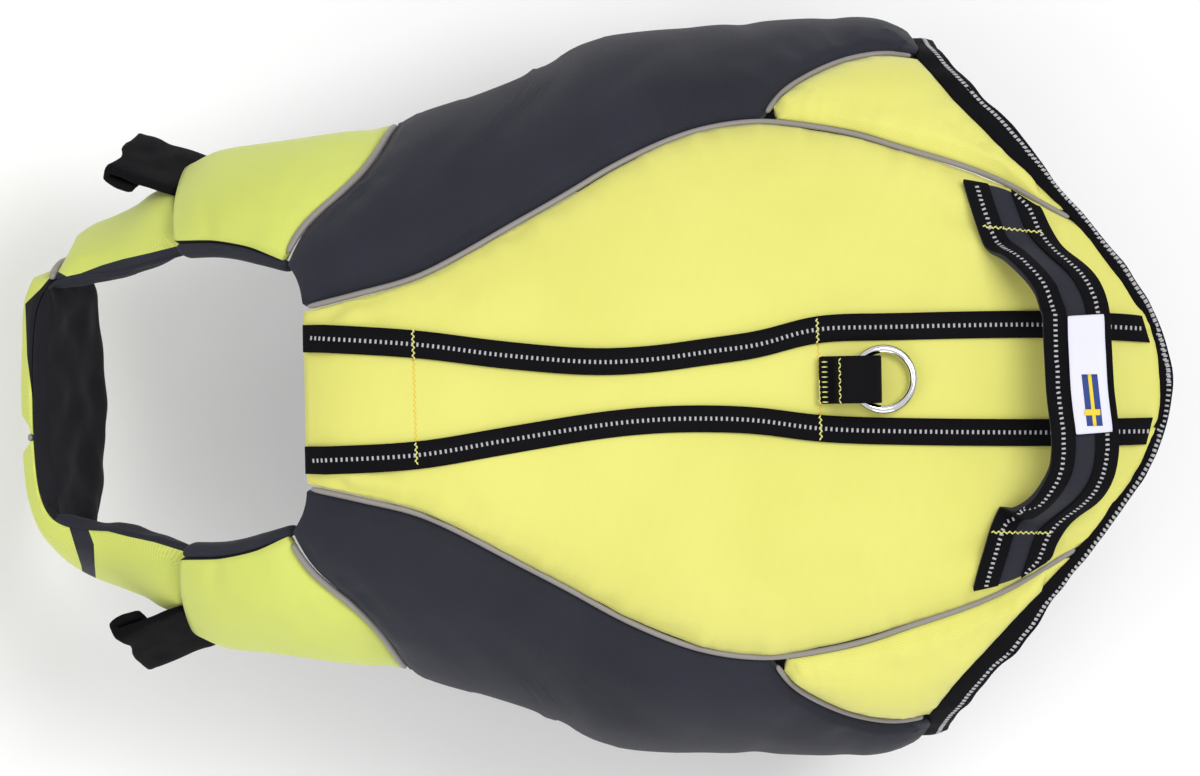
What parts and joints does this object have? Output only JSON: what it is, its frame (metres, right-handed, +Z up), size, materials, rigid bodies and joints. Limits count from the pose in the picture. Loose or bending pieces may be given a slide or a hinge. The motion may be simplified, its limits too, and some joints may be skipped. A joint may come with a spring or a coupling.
{
  "type": "dog life jacket",
  "caption": "Padded dog life jacket, filled out with no wearer, with a grab handle and a leash ring on the back.",
  "frame": {"origin": "on the inner face of the back's centre strip, at the middle of the back, where the wearer holds the jacket up", "axes": "+X towards the tail, +Y towards the dog's right side, +Z up; the head end is towards -X"},
  "size_m": [0.4847, 0.3078, 0.2658],
  "materials": {
    "yellow_cloth": "pale yellow woven nylon, satin",
    "deep_yellow_cloth": "greener yellow woven nylon, satin",
    "grey_cloth": "dark grey woven nylon, matt",
    "lining_cloth": "near-black lining cloth, matt",
    "webbing": "black woven webbing and binding, matt",
    "piping_cloth": "grey piping, satin",
    "label_cloth": "white woven label, satin",
    "hook_and_loop": "black hook and loop tape, matt",
    "ring_metal": "polished"
  },
  "bodies": {
    "jacket": {"back_right": "yellow_cloth", "back_left": "yellow_cloth", "back_centre": "yellow_cloth", "side_right": "grey_cloth", "side_left": "grey_cloth", "rear_side_right": "yellow_cloth", "rear_side_left": "yellow_cloth", "shoulder_right": "deep_yellow_cloth", "shoulder_left": "deep_yellow_cloth", "belly_flap_right": "grey_cloth", "belly_flap_left": "grey_cloth", "belly_loop_strip": "hook_and_loop", "belly_hook_strip": "hook_and_loop", "back_tape_right": "webbing", "back_tape_left": "webbing", "hem_binding": "webbing", "back_piping_right": "piping_cloth", "back_piping_left": "piping_cloth", "rear_piping_right": "piping_cloth", "rear_piping_left": "piping_cloth", "shoulder_piping_right": "piping_cloth", "shoulder_piping_left": "piping_cloth", "collar_arm_right": "deep_yellow_cloth", "chest_front": "deep_yellow_cloth", "collar_arm_left": "deep_yellow_cloth", "arm_lining_right": "lining_cloth", "chest_lining": "lining_cloth", "arm_lining_left": "lining_cloth", "chest_piping_right": "piping_cloth", "chest_piping_left": "piping_cloth", "neck_facing_right": "lining_cloth", "neck_facing_left": "lining_cloth", "handle_strap": "grey_cloth", "handle_tape_front": "webbing", "handle_tape_rear": "webbing", "handle_label": "label_cloth", "leash_loop": "webbing", "strap_tab_right": "webbing", "strap_tab_left": "webbing"},
    "ring": {"leash_ring": "ring_metal"}
  },
  "joints": [
    {"name": "ring_swing", "type": "hinge", "parent": "jacket", "child": "ring", "pos_m": [0.0472, 0.00344, 0.01434], "axis": [0, -1, 0], "range_deg": [0, 120]}
  ]
}
